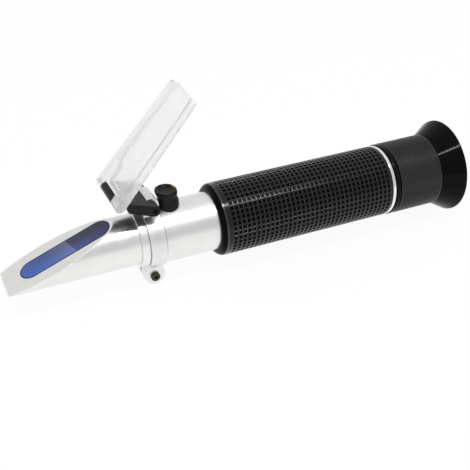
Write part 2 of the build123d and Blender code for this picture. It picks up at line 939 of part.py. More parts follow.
objective_bore = objective_radius - objective_ring_width
x_objective = cell_front + objective_ring_width
x_objective_ring = x_objective + objective_thickness - face_depth(
    objective_radius, objective_bulge, objective_bore
)

pieces["lens_cell"] = lens_cell()
pieces["guide_posts"] = Compound(guide_posts())
pieces["objective_lens"] = lens(
    x_objective, objective_thickness, objective_radius, objective_bulge, objective_bulge
)
pieces["objective_ring"] = tube(
    x_objective_ring, x_objective_ring + objective_ring_length, objective_radius, objective_bore
)
pieces["temperature_strip"] = temperature_strip()
pieces["strip_rivet"] = strip_rivet()


rest_pin = open_bracket(lid_pin_bar).center()
print(f"sample face {degrees(slope):.2f} degrees, {face_length:.3f} mm long")
print(f"hinge pin x {x_hinge:.3f} z {hinge_height:.3f}")
print(f"lid pin at rest x {rest_pin.X:.4f} z {rest_pin.Z:.4f}")
print(f"calibration screw x {x_screw:.3f}")

os.makedirs("parts", exist_ok=True)
for node, shape in pieces.items():
    save(node, shape)
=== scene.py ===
"""The looks of a handheld honey refractometer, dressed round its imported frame.

The optical axis is X and +X points out of the eyepiece. +Z is the side of the sample face,
the hinge and the calibration cap, and -Y is the side of the clamp screw's head. Lengths are
in metres, apart from the fields of the sub-assemblies, which are in millimetres.
"""

import logging
from abc import ABC, abstractmethod
from dataclasses import dataclass
from enum import Enum
from math import atan2, cos, floor, pi, radians, sin, tan
from typing import Sequence

import bmesh
import bpy
from mathutils import Euler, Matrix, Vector


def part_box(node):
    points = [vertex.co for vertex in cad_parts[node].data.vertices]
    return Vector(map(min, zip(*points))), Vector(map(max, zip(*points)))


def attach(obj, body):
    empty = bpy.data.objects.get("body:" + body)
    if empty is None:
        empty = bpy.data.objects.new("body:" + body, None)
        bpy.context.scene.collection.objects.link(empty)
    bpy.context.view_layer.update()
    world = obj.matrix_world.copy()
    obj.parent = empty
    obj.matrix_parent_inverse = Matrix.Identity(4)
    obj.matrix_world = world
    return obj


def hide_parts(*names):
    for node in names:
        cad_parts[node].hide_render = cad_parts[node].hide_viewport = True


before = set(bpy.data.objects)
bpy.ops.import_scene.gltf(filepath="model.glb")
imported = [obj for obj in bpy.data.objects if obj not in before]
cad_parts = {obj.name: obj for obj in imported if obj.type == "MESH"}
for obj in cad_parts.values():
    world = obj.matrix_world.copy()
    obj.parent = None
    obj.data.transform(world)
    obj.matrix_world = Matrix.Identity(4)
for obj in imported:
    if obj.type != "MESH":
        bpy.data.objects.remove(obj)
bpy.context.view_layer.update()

log = logging.getLogger("refractometer")

MM = 0.001
MERGE_DISTANCE = 2e-6
SAME_PLACE = 1e-5
FLAT_WITHIN = 0.4
COMMON_NOISE = (0.3, 0.7)
QUARTER_TURN = tuple(radians(15.0 * i) for i in range(7))
X_AXIS = Vector((1, 0, 0))
Z_AXIS = Vector((0, 0, 1))
ORIGIN = Vector((0, 0, 0))
WHITE = (1.0, 1.0, 1.0)

Colour = tuple[float, float, float]
Outline = Sequence[tuple[float, float]]


def srgb(code: str) -> Colour:
    """Turn a screen colour into a linear one.

    Args:
        code: six hexadecimal digits.

    Returns:
        The linear red, green and blue.
    """
    shares = [int(code[i : i + 2], 16) / 255 for i in (0, 2, 4)]
    return tuple(s / 12.92 if s <= 0.04045 else ((s + 0.055) / 1.055) ** 2.4 for s in shares)


def solid(colour: Colour) -> tuple[float, float, float, float]:
    """The colour with full opacity."""
    return (*colour, 1.0)


class Slot(Enum):
    """The record's material slots by name."""

    SATIN_ALUMINIUM = "satin_aluminium"
    BRIGHT_RING = "bright_ring"
    BLACK_METAL = "black_metal"
    BLACK_PLASTIC = "black_plastic"
    GLOSS_RUBBER = "gloss_rubber"
    GRIP_RUBBER = "grip_rubber"
    CLEAR_PLASTIC = "clear_plastic"
    SEAL = "seal"


class Lay(Enum):
    """How fine surface marks run: marks per metre along X, Y and Z."""

    TURNED = (5200.0, 90.0, 90.0)
    DRAWN = (90.0, 4200.0, 4200.0)
    BLASTED = (2600.0, 2600.0, 2600.0)


# Finishes


class NodeGraph:
    """A node tree that is filled from an empty start."""

    def __init__(self, owner: bpy.types.Material | bpy.types.World) -> None:
        """Empty the owner's tree.

        Args:
            owner: the material or world that holds the tree.
        """
        owner.use_nodes = True
        self.tree = owner.node_tree
        self.tree.nodes.clear()

    def add(self, kind: str, values: dict | None = None, **settings: object) -> bpy.types.Node:
        """Add a node and fill its sockets.

        Args:
            kind: the node's type.
            values: socket name or number to a value, or to a socket that feeds it.
            settings: properties of the node itself.

        Returns:
            The new node.
        """
        node = self.tree.nodes.new(kind)
        for name, value in settings.items():
            setattr(node, name, value)
        for name, value in (values or {}).items():
            if isinstance(value, bpy.types.NodeSocket):
                self.tree.links.new(value, node.inputs[name])
            else:
                node.inputs[name].default_value = value
        return node

    def place(
        self, scale: Sequence[float] = (1, 1, 1), turn: Sequence[float] = (0, 0, 0),
        shift: Sequence[float] = (0, 0, 0),
    ) -> bpy.types.NodeSocket:
        """Object coordinates, scaled, turned and then shifted.

        Args:
            scale: the factor on each axis.
            turn: the angle about each axis.
            shift: the way along each axis.

        Returns:
            The vector socket.
        """
        coordinates = self.add("ShaderNodeTexCoord")
        mapping = self.add(
            "ShaderNodeMapping",
            {"Vector": coordinates.outputs["Object"], "Scale": scale, "Rotation": turn,
             "Location": shift},
        )
        return mapping.outputs["Vector"]

    def noise(self, scale: Sequence[float], detail: float = 2.0) -> bpy.types.NodeSocket:
        """Soft noise over the piece.

        Args:
            scale: marks per metre on each axis.
            detail: how many finer layers it has.

        Returns:
            The factor socket.
        """
        node = self.add(
            "ShaderNodeTexNoise", {"Vector": self.place(scale), "Scale": 1.0, "Detail": detail}
        )
        return node.outputs["Fac"]

    def remap(
        self, value: bpy.types.NodeSocket, source: tuple[float, float],
        target: tuple[float, float] = (0.0, 1.0), eased: bool = False,
    ) -> bpy.types.NodeSocket:
        """Map one range onto another.

        Args:
            value: what is mapped.
            source: the range that it has.
            target: the range that it gets.
            eased: whether it slows down towards both ends.

        Returns:
            The value socket.
        """
        node = self.add(
            "ShaderNodeMapRange",
            {"Value": value, "From Min": source[0], "From Max": source[1], "To Min": target[0],
             "To Max": target[1]},
            interpolation_type="SMOOTHSTEP" if eased else "LINEAR",
        )
        return node.outputs["Result"]

    def blend(
        self, factor: bpy.types.NodeSocket, first: Colour | bpy.types.NodeSocket,
        second: Colour | bpy.types.NodeSocket,
    ) -> bpy.types.NodeSocket:
        """Mix two colours.

        Args:
            factor: 0 gives the first colour and 1 the second.
            first: a colour or a colour socket.
            second: a colour or a colour socket.

        Returns:
            The colour socket.
        """
        ends = [c if isinstance(c, bpy.types.NodeSocket) else solid(c) for c in (first, second)]
        node = self.add("ShaderNodeMix", {"Factor": factor}, data_type="RGBA")
        for name, end in zip(("A", "B"), ends):
            socket = next(s for s in node.inputs if s.name == name and s.type == "RGBA")
            if isinstance(end, bpy.types.NodeSocket):
                self.tree.links.new(end, socket)
            else:
                socket.default_value = end
        return next(s for s in node.outputs if s.type == "RGBA")

    def ramp(
        self, factor: bpy.types.NodeSocket, stops: Sequence[tuple[float, Colour]]
    ) -> bpy.types.NodeSocket:
        """Colour a factor with a row of stops.

        Args:
            factor: the place on the ramp.
            stops: place and colour of each stop.

        Returns:
            The colour socket.
        """
        node = self.add("ShaderNodeValToRGB", {"Fac": factor})
        elements = node.color_ramp.elements
        while len(elements) < len(stops):
            elements.new(1.0)
        for element, (position, colour) in zip(elements, stops):
            element.position = position
            element.color = solid(colour)
        return node.outputs["Color"]

    def relief(self, height: bpy.types.NodeSocket, depth: float) -> bpy.types.NodeSocket:
        """A bumped normal.

        Args:
            height: the height factor.
            depth: the depth of the marks in metres.

        Returns:
            The normal socket.
        """
        node = self.add("ShaderNodeBump", {"Height": height, "Strength": 1.0, "Distance": depth})
        return node.outputs["Normal"]


@dataclass(frozen=True)
class Wear:
    """Slow changes of the roughness: how many per metre, and its least and greatest share."""

    scale: float
    least: float
    most: float
    detail: float = 2.0


@dataclass(frozen=True)
class Finish(ABC):
    """What a surface looks like."""

    name: str
    colour: Colour
    roughness: float
    wear: Wear = Wear(320.0, 0.92, 1.1)
    cloud_scale: float = 160.0
    cloud_spread: float = 0.03

    def material(self) -> bpy.types.Material:
        """Get the material of this finish, which is made at its first use.

        Returns:
            The material.
        """
        made = bpy.data.materials.get(self.name)
        if made is None:
            made = bpy.data.materials.new(self.name)
            graph = NodeGraph(made)
            shader = graph.add("ShaderNodeBsdfPrincipled", {"Roughness": self.roughness})
            self.paint(graph, shader)
            graph.add("ShaderNodeOutputMaterial", {"Surface": shader.outputs["BSDF"]})
        return made

    @abstractmethod
    def paint(self, graph: NodeGraph, shader: bpy.types.Node) -> None:
        """Feed the shader.

        Args:
            graph: the material's nodes.
            shader: its principled shader.
        """

    def feed(self, graph: NodeGraph, shader: bpy.types.Node, **sockets: object) -> None:
        """Set or join sockets of the shader.

        Args:
            graph: the material's nodes.
            shader: its principled shader.
            sockets: socket name, with _ for a space, to a value or a feeding socket.
        """
        for name, value in sockets.items():
            socket = shader.inputs[name.replace("_", " ")]
            if isinstance(value, bpy.types.NodeSocket):
                graph.tree.links.new(value, socket)
            else:
                socket.default_value = value

    def tones(self, graph: NodeGraph) -> bpy.types.NodeSocket:
        """Let the colour change slowly over the piece.

        Args:
            graph: the material's nodes.

        Returns:
            The colour socket.
        """
        darker = tuple(c * (1 - self.cloud_spread) for c in self.colour)
        lighter = tuple(min(1.0, c * (1 + self.cloud_spread)) for c in self.colour)
        clouds = graph.remap(graph.noise((self.cloud_scale,) * 3), COMMON_NOISE)
        return graph.blend(clouds, darker, lighter)

    def worn(self, graph: NodeGraph) -> bpy.types.NodeSocket:
        """Let the roughness change slowly over the piece.

        Args:
            graph: the material's nodes.

        Returns:
            The value socket.
        """
        changes = graph.noise((self.wear.scale,) * 3, self.wear.detail)
        ends = (self.roughness * self.wear.least, self.roughness * self.wear.most)
        return graph.remap(changes, COMMON_NOISE, ends)


@dataclass(frozen=True)
class Metal(Finish):
    """Bare or coated metal with fine machining marks."""

    lay: Lay = Lay.TURNED
    depth: float = 0.8e-6

    def paint(self, graph: NodeGraph, shader: bpy.types.Node) -> None:
        """Feed the shader with machined metal.

        Args:
            graph: the material's nodes.
            shader: its principled shader.
        """
        marks = graph.noise(self.lay.value, detail=3.0)
        self.feed(
            graph,
            shader,
            Base_Color=self.tones(graph),
            Metallic=1.0,
            Roughness=self.worn(graph),
            Normal=graph.relief(marks, self.depth),
        )


@dataclass(frozen=True)
class Moulded(Finish):
    """Moulded plastic or rubber with a fine grain."""

    wear: Wear = Wear(260.0, 0.88, 1.15, detail=4.0)
    cloud_scale: float = 220.0
    cloud_spread: float = 0.12
    grain: float = 3000.0
    depth: float = 2e-6
    specular: float = 0.3

    def colouring(self, graph: NodeGraph) -> bpy.types.NodeSocket:
        """The colour socket of the moulding."""
        return self.tones(graph)

    def shine(self, graph: NodeGraph) -> float | bpy.types.NodeSocket:
        """How strongly the surface reflects."""
        return self.specular

    def paint(self, graph: NodeGraph, shader: bpy.types.Node) -> None:
        """Feed the shader with moulded stuff.

        Args:
            graph: the material's nodes.
            shader: its principled shader.
        """
        grain = graph.noise((self.grain,) * 3, detail=3.0)
        self.feed(
            graph,
            shader,
            Base_Color=self.colouring(graph),
            Roughness=self.worn(graph),
            Specular_IOR_Level=self.shine(graph),
            Normal=graph.relief(grain, self.depth),
        )


@dataclass(frozen=True)
class SpottedMoulding(Moulded):
    """A moulding with a spot of another colour that fades out."""

    spot_colour: Colour = srgb("c87a58")
    spot_centre: tuple[float, float, float] = (0.0, 0.0, 0.0)
    spot_radius: float = 2.3 * MM
    spot_core: float = 0.35

    def colouring(self, graph: NodeGraph) -> bpy.types.NodeSocket:
        """Lay the spot over the moulding's colour.

        Args:
            graph: the material's nodes.

        Returns:
            The colour socket.
        """
        offset = graph.add(
            "ShaderNodeVectorMath", {0: graph.place(), 1: self.spot_centre}, operation="DISTANCE"
        )
        fade = (self.spot_radius * self.spot_core, self.spot_radius)
        share = graph.remap(offset.outputs["Value"], fade, (1.0, 0.0), eased=True)
        return graph.blend(share, super().colouring(graph), self.spot_colour)


@dataclass(frozen=True)
class PaintedPitShadeMoulding(Moulded):
    """A round moulding with pits, whose reflection strength is painted light: low inside the pits
    as painted shade and high at their brims as painted glints.
    """

    floor_radius: float = 13.6 * MM
    rib_radius: float = 14.0 * MM
    pit_shade_specular: float = 0.04
    brim_glint_specular: float = 0.9
    pit_top: float = 0.52
    brim_ends: tuple[float, float] = (0.6, 0.87)
    rib_foot: float = 0.91

    def shine(self, graph: NodeGraph) -> bpy.types.NodeSocket:
        """Let the reflection's strength follow the distance from the optical axis, as painted shade
        in the pits and painted glints at their brims.

        Args:
            graph: the material's nodes.

        Returns:
            The value socket.
        """
        reach = graph.add("ShaderNodeVectorMath", {0: graph.place((0, 1, 1))}, operation="LENGTH")
        share = graph.remap(reach.outputs["Value"], (self.floor_radius, self.rib_radius))
        # Painted shade: weak reflection in the pits. Painted glints: strong reflection at the
        # brims, and on the sleeve's rounded ends where they pass the same radii.
        levels = (
            (0.0, self.pit_shade_specular),
            (self.pit_top, self.pit_shade_specular),
            (self.brim_ends[0], self.brim_glint_specular),
            (self.brim_ends[1], self.brim_glint_specular),
            (self.rib_foot, self.specular),
        )
        return graph.ramp(share, [(place, (level,) * 3) for place, level in levels])


@dataclass(frozen=True)
class Clear(Finish):
    """Clear plastic or glass, with a share of milky haze."""

    wear: Wear = Wear(340.0, 0.93, 1.07, detail=3.0)
    cloud_scale: float = 120.0
    cloud_spread: float = 0.012
    ior: float = 1.52
    haze: float = 0.0

    def paint(self, graph: NodeGraph, shader: bpy.types.Node) -> None:
        """Feed the shader with clear stuff.

        Args:
            graph: the material's nodes.
            shader: its principled shader.
        """
        self.feed(
            graph,
            shader,
            Base_Color=self.tones(graph),
            Transmission_Weight=1.0 - self.haze,
            IOR=self.ior,
            Roughness=self.worn(graph),
        )


@dataclass(frozen=True)
class GlassWithPaintedReflection(Finish):
    """Polished glass with a blue tint, bright towards the tip and slate at the hinge side, with a
    crisp step. The ramp, the step and the near side's brighter blue are partly the glass's own tint
    and partly painted reflection of the lid and the parts behind the window.

    Its colour is the window's shade at the tip's far corner.
    """

    wear: Wear = Wear(400.0, 0.75, 1.5)
    specular: float = 0.3
    face_start: tuple[float, float, float] = (0.0, 0.0, 0.0)
    face_slope: float = 0.0
    window_ends: tuple[float, float] = (0.0, 1.0)
    skew: float = 0.234
    sides: tuple[float, float] = (2.2 * MM, -3.4 * MM)
    stops: tuple[float, ...] = (0.0, 0.3, 0.56, 0.572, 1.0)
    far_tint_and_reflection: tuple[str, ...] = ("404f82", "5a607c", "34364c", "2c2f44")
    near_tint_and_reflection: tuple[str, ...] = ("3a58b0", "4560a6", "606ea6", "424886", "303558")

    def paint(self, graph: NodeGraph, shader: bpy.types.Node) -> None:
        """Feed the shader with backed glass.

        Args:
            graph: the material's nodes.
            shader: its principled shader.
        """
        turn = Euler((0, self.face_slope, 0))
        on_face = graph.place(turn=turn, shift=-(turn.to_matrix() @ Vector(self.face_start)))
        parts = graph.add("ShaderNodeSeparateXYZ", {"Vector": on_face})
        slanted = graph.add(
            "ShaderNodeMath", {0: parts.outputs["Y"], 1: self.skew, 2: parts.outputs["X"]},
            operation="MULTIPLY_ADD",
        )
        along = graph.remap(slanted.outputs["Value"], self.window_ends)
        across = graph.remap(parts.outputs["Y"], self.sides, eased=True)
        # The two ramps paint the window's tint together with painted reflection of the lid and
        # hinge; the crisp step between stops 0.56 and 0.572 is painted reflection too.
        far_colours = [self.colour, *map(srgb, self.far_tint_and_reflection)]
        far_side = graph.ramp(along, list(zip(self.stops, far_colours)))
        near_side = graph.ramp(along, list(zip(self.stops, map(srgb, self.near_tint_and_reflection))))
        self.feed(
            graph,
            shader,
            Base_Color=graph.blend(across, far_side, near_side),
            Roughness=self.worn(graph),
            Specular_IOR_Level=self.specular,
        )


SATIN_ALUMINIUM = Metal(
    "finish_satin_aluminium", srgb("f0f1ef"), 0.34, lay=Lay.BLASTED, depth=0.15e-6
)
RING_ALUMINIUM = Metal(
    "finish_ring_aluminium", srgb("eceded"), 0.4, lay=Lay.BLASTED, depth=0.4e-6
)
BRIGHT_RING = Metal("finish_bright_ring", srgb("f4f5f5"), 0.12, depth=0.3e-6)
INNER_METAL = Metal("finish_inner_metal", srgb("3a3a3c"), 0.4)
BLACK_METAL = Metal("finish_black_metal", srgb("151516"), 0.35, cloud_spread=0.1)
STEEL = Metal("finish_steel", srgb("c4c4c5"), 0.25, lay=Lay.DRAWN)
DARK_STEEL = Metal(
    "finish_dark_steel", srgb("45423d"), 0.3, lay=Lay.BLASTED, cloud_spread=0.2
)
BRASS = Metal("finish_brass", srgb("dcb766"), 0.28)
BLACK_PLASTIC = Moulded("finish_black_plastic", srgb("100f0e"), 0.34, specular=0.2)
FOCUS_PLASTIC = Moulded("finish_focus_plastic", srgb("141515"), 0.34, depth=1e-6, specular=0.5)
LIP_PLASTIC = Moulded("finish_lip_plastic", srgb("070707"), 0.16, depth=0.5e-6, specular=0.1)
GLOSS_RUBBER = Moulded("finish_gloss_rubber", srgb("010102"), 0.1, depth=0.2e-6, specular=0.1)
# The grip's pits get painted shade and their brims painted glints, through the reflection's
# strength.
GRIP_RUBBER = PaintedPitShadeMoulding(
    "finish_grip_rubber", srgb("060707"), 0.18, depth=0.2e-6, specular=0.36
)
SEAL = Moulded("finish_seal", srgb("181c46"), 0.3, depth=3e-6)
CLEAR_PLASTIC = Clear("finish_clear_plastic", srgb("fafafb"), 0.2, ior=1.22, haze=0.4)
LENS_GLASS = Clear("finish_lens_glass", srgb("eef6f4"), 0.01)


# Mesh work


def loose_copy(node: str) -> bmesh.types.BMesh:
    """Copy a node's mesh and make its faces whole.

    Args:
        node: the CAD node.

    Returns:
        The merged copy.
    """
    mesh = bmesh.new()
    mesh.from_mesh(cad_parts[node].data)
    bmesh.ops.remove_doubles(mesh, verts=mesh.verts, dist=MERGE_DISTANCE)
    bmesh.ops.dissolve_limit(
        mesh, angle_limit=radians(FLAT_WITHIN), verts=mesh.verts, edges=mesh.edges
    )
    return mesh


def turned(
    outline: Outline, steps: int, centre: Vector = ORIGIN, axis: Vector = X_AXIS,
    side: Vector = Z_AXIS,
) -> bmesh.types.BMesh:
    """Spin a closed outline into a body of revolution.

    Args:
        outline: the corners, as place along the axis and radius, in millimetres.
        steps: how many faces go round.
        centre: a point on the axis.
        axis: the axis of the spin.
        side: where the radius points before the spin.

    Returns:
        The closed mesh.
    """
    mesh = bmesh.new()
    corners = [
        mesh.verts.new(centre + axis * along * MM + side * radius * MM) for along, radius in outline
    ]
    radii = [radius for _, radius in outline]
    edges = [
        mesh.edges.new((corners[i - 1], corners[i]))
        for i in range(len(corners))
        if radii[i - 1] > 0 or radii[i] > 0
    ]
    bmesh.ops.spin(
        mesh, geom=corners + edges, cent=centre, axis=axis, angle=2 * pi, steps=steps,
        use_merge=True,
    )
    bmesh.ops.remove_doubles(mesh, verts=mesh.verts, dist=MERGE_DISTANCE)
    bmesh.ops.dissolve_degenerate(mesh, dist=MERGE_DISTANCE, edges=mesh.edges)
    bmesh.ops.recalc_face_normals(mesh, faces=mesh.faces)
    return mesh


def soften(
    mesh: bmesh.types.BMesh, width: float, sharper_than: float = 28.0, segments: int = 2,
    beyond_radius: float = 0.0,
) -> None:
    """Round the sharp edges of a mesh.

    Args:
        mesh: the mesh.
        width: the width of the rounding in millimetres.
        sharper_than: the least angle between two faces, in degrees, that is rounded.
        segments: how many faces cross the rounding.
        beyond_radius: how far from the optical axis an edge has to lie, in millimetres.
    """
    sharp = [
        e for e in mesh.edges
        if e.is_manifold and e.calc_face_angle(0.0) > radians(sharper_than)
        and all(v.co.yz.length >= beyond_radius * MM for v in e.verts)
    ]
    bmesh.ops.bevel(
        mesh, geom=sharp, offset=width * MM, offset_type="OFFSET", segments=segments, profile=0.5,
        affect="EDGES", clamp_overlap=True, material=-1,
    )


def put(
    mesh: bmesh.types.BMesh, name: str, body: str, finish: Finish,
    stands_for: Sequence[str], crease: float = 32.0,
) -> bpy.types.Object:
    """Make a finished piece of a mesh.

    Args:
        mesh: the mesh, which is used up.
        name: the piece's name.
        body: the CAD body that it rides on.
        finish: its finish.
        stands_for: the CAD nodes that it replaces.
        crease: the least angle in degrees that stays a hard edge.

    Returns:
        The piece.
    """
    data = bpy.data.meshes.new(name)
    mesh.to_mesh(data)
    mesh.free()
    data.shade_smooth()
    data.set_sharp_from_angle(angle=radians(crease))
    data.materials.append(finish.material())
    piece = bpy.data.objects.new(name, data)
    bpy.context.scene.collection.objects.link(piece)
    normals = piece.modifiers.new("normals", "WEIGHTED_NORMAL")
    normals.keep_sharp = True
    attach(piece, body)
    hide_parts(*stands_for)
    return piece


def dress(finish: Finish, *nodes: str) -> None:
    """Give CAD nodes a finish.

    Args:
        finish: the finish.
        nodes: the nodes.
    """
    for node in nodes:
        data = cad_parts[node].data
        data.materials.clear()
        data.materials.append(finish.material())


# Sub-assemblies


@dataclass
class SubAssembly(ABC):
    """A group of pieces that belong together."""

    label: str

    @abstractmethod
    def build(self) -> list[bpy.types.Object]:
        """Make the pieces.

        Returns:
            The pieces that it added.
        """

    def assemble(self) -> None:
        """Make the pieces and report them."""
        for piece in self.build():
            log.info("%s: %s, %d faces", self.label, piece.name, len(piece.data.polygons))


@dataclass
class Nose(SubAssembly):
    """The slanted metal nose with its window."""

    edge_round: float = 0.22
    seal_round: float = 0.08
    prism_overrun: float = 0.2
    window_front: float = 6.85
    window_back: float = 42.1

    def glass(self) -> Finish:
        """Fit the window's finish to the sample face.

        Returns:
            The finish.
        """
        low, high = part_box("front_barrel")
        corners = [v.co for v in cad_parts["front_barrel"].data.vertices]
        tip_height = max(place.z for place in corners if place.x < low.x + SAME_PLACE)
        face_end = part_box("main_prism")[1].x - self.prism_overrun * MM
        # The window's colours are partly its tint and partly painted reflection of the lid and
        # hinge.
        return GlassWithPaintedReflection(
            "finish_prism_glass", srgb("3f5a9c"), 0.04, face_start=(low.x, 0.0, tip_height),
            face_slope=atan2(high.z - tip_height, face_end - low.x),
            window_ends=(self.window_front * MM, self.window_back * MM),
        )

    def build(self) -> list[bpy.types.Object]:
        """Make the nose and the window's seal, and finish the prism.

        Returns:
            The nose and the seal.
        """
        shell = loose_copy("front_barrel")
        soften(shell, self.edge_round, sharper_than=12.0)
        seal = loose_copy("prism_seal")
        soften(seal, self.seal_round)
        dress(self.glass(), "main_prism")
        return [
            put(shell, "nose", "housing", SATIN_ALUMINIUM, ["front_barrel"]),
            put(seal, "window_seal", "housing", SEAL, ["prism_seal"]),
        ]


@dataclass
class Tube(SubAssembly):
    """The metal tube between nose and grip."""

    bore: float = 9.4
    nose_radius: float = 10.6
    collar_length: float = 2.6
    seat_radius: float = 10.5
    seat_length: float = 6.6
    edge_round: float = 0.18
    steps: int = 160

    def build(self) -> list[bpy.types.Object]:
        """Make the tube.

        Returns:
            The tube.
        """
        low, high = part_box("rear_tube")
        front, end, radius = low.x / MM, high.x / MM, high.z / MM
        seat = front + self.collar_length
        mesh = turned(
            [
                (front, self.bore),
                (front, self.nose_radius),
                (seat, radius),
                (seat, self.seat_radius),
                (seat + self.seat_length, self.seat_radius),
                (seat + self.seat_length, radius),
                (end, radius),
                (end, self.bore),
            ],
            self.steps,
        )
        soften(mesh, self.edge_round)
        return [
            put(mesh, "tube", "housing", SATIN_ALUMINIUM, ["rear_tube"])
        ]


@dataclass
class Clamp(SubAssembly):
    """The split ring with its lug, ears, screw and nut."""

    edge_round: float = 0.3

    def build(self) -> list[bpy.types.Object]:
        """Make the ring and finish its screw and nut.

        Returns:
            The ring.
        """
        ring = loose_copy("clamp_ring")
        soften(ring, self.edge_round)
        dress(DARK_STEEL, "clamp_screw")
        dress(STEEL, "clamp_nut")
        return [put(ring, "hinge_clamp", "housing", RING_ALUMINIUM, ["clamp_ring"])]


@dataclass
class Hinge(SubAssembly):
    """The black bracket between clamp ring and daylight plate."""

    edge_round: float = 0.35

    def build(self) -> list[bpy.types.Object]:
        """Make the bracket and finish the pins.

        Returns:
            The bracket.
        """
        bracket = loose_copy("lid_bracket")
        soften(bracket, self.edge_round)
        dress(BLACK_METAL, "bracket_pin")
        dress(STEEL, "lid_pin")
        return [put(bracket, "hinge_bracket", "bracket", BLACK_PLASTIC, ["lid_bracket"])]


@dataclass
class DaylightPlate(SubAssembly):
    """The clear lid."""

    edge_round: float = 0.3

    def build(self) -> list[bpy.types.Object]:
        """Make the lid.

        Returns:
            The lid.
        """
        plate = loose_copy("daylight_plate")
        soften(plate, self.edge_round, segments=3)
        return [put(plate, "clear_lid", "lid", CLEAR_PLASTIC, ["daylight_plate"])]


@dataclass
class CalibrationCap(SubAssembly):
    """The rubber cap over the calibration screw."""

    skirt_radius: float = 4.15
    skirt_height: float = 2.6
    skirt_taper: float = 0.1
    waist_radius: float = 3.75
    waist_swell: float = 0.05
    waist_ends: tuple[float, float] = (3.2, 2.4)
    lip_radius: float = 4.15
    lip_taper: float = 0.1
    lip_ends: tuple[float, float] = (1.6, 1.1)
    dish_radius: float = 3.2
    dish_slope: float = 0.8
    dish_depth: float = 0.7
    hollow_radius: float = 3.05
    roof: float = 1.7
    edge_round: float = 0.3
    saddle_gap: float = 0.1
    lean: float = 9.0
    lean_pivot: float = 2.5
    spot_place: tuple[float, float] = (3.9, 1.3)
    steps: int = 72

    def profile(self, bottom: float, top: float) -> Outline:
        """The cap's outline, from its hollow round the outside to its roof.

        Args:
            bottom: the height of the foot, in millimetres.
            top: the height of the lip.

        Returns:
            The corners of the outline.
        """
        return [
            (bottom, self.hollow_radius),
            (bottom, self.skirt_radius),
            (bottom + self.skirt_height, self.skirt_radius - self.skirt_taper),
            (top - self.waist_ends[0], self.waist_radius + self.waist_swell),
            (top - self.waist_ends[1], self.waist_radius),
            (top - self.lip_ends[0], self.lip_radius - self.lip_taper),
            (top - self.lip_ends[1], self.lip_radius),
            (top, self.lip_radius - self.lip_taper),
            (top, self.dish_radius),
            (top - self.dish_depth, self.dish_radius - self.dish_slope),
            (top - self.dish_depth, 0),
            (top - self.roof, 0),
            (top - self.roof, self.hollow_radius),
        ]

    def build(self) -> list[bpy.types.Object]:
        """Make the cap and finish what it covers.

        Returns:
            The cap.
        """
        low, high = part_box("rubber_cap")
        seat_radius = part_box("rear_tube")[1].z + self.saddle_gap * MM
        centre = Vector(((low.x + high.x) / 2, 0, 0))
        outline = self.profile(low.z / MM, high.z / MM)
        mesh = turned(outline, self.steps, centre=centre, axis=Z_AXIS, side=X_AXIS)
        upright = low.z + self.lean_pivot * MM
        for corner in mesh.verts:
            if corner.co.z < low.z + SAME_PLACE:
                corner.co.z = (seat_radius**2 - corner.co.y**2) ** 0.5
            else:
                corner.co.x -= (corner.co.z - upright) * tan(radians(self.lean))
        soften(mesh, self.edge_round, segments=3)
        spotted = SpottedMoulding(
            "finish_cap_rubber", srgb("080808"), 0.3, depth=1e-6, specular=0.2,
            spot_centre=(centre.x + self.spot_place[0] * MM, self.spot_place[1] * MM, high.z),
        )
        dress(BRASS, "calibration_bush", "calibration_screw")
        return [
            put(mesh, "calibration_cap", "cap", spotted, ["rubber_cap"])
        ]


@dataclass
class Grip(SubAssembly):
    """The rubber sleeve with its waffle of square pits."""

    front_bore: float = 11.22
    rear_bore: float = 12.22
    step_behind_front: float = 4.0
    front_round: float = 2.4
    lip_length: float = 4.0
    rear_land: float = 1.0
    rear_round: float = 0.5
    cells_along: int = 36
    cells_round: int = 44
    rib_half_width: float = 0.3
    pit_steps: tuple[tuple[float, float], ...] = ((0.09, 0.055), (0.09, 0.08), (0.04, 0.3))

    def profile(self, front: float, end: float, radius: float) -> Outline:
        """The sleeve's outline.

        Args:
            front: the front end's place, in millimetres.
            end: the rear end's place.
            radius: the outer radius.

        Returns:
            The corners of the outline.
        """
        nose = [
            (front + self.front_round * (1 - sin(t)), radius - self.front_round * (1 - cos(t)))
            for t in reversed(QUARTER_TURN)
        ]
        first = front + self.lip_length
        pitch = (end - self.rear_land - first) / self.cells_along
        field = [(first + pitch * i, radius) for i in range(self.cells_along + 1)]
        tail = [
            (end - self.rear_round * (1 - sin(t)), radius - self.rear_round * (1 - cos(t)))
            for t in QUARTER_TURN[::2]
        ]
        step = front + self.step_behind_front
        wide_bore = [(end, self.rear_bore), (step, self.rear_bore)]
        narrow_bore = [(step, self.front_bore), (front, self.front_bore)]
        return [*nose, *field, *tail, *wide_bore, *narrow_bore]

    def build(self) -> list[bpy.types.Object]:
        """Make the sleeve and press the pits into it.

        Returns:
            The sleeve.
        """
        low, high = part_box("rubber_grip")
        front, end, radius = low.x / MM, high.x / MM, high.z / MM
        mesh = turned(self.profile(front, end, radius), self.cells_round)
        first = (front + self.lip_length) * MM
        last = (end - self.rear_land) * MM
        middle = cos(pi / self.cells_round) * radius * MM
        cells = []
        for face in mesh.faces:
            place = face.calc_center_median()
            if first < place.x < last and place.yz.length > middle - SAME_PLACE:
                cells.append(face)
        for run, depth in ((self.rib_half_width, 0.0), *self.pit_steps):
            bmesh.ops.inset_individual(mesh, faces=cells, thickness=run * MM, depth=-depth * MM)
        return [
            put(
                mesh, "waffle_grip", "housing", GRIP_RUBBER, ["rubber_grip"],
                crease=20.0,
            )
        ]


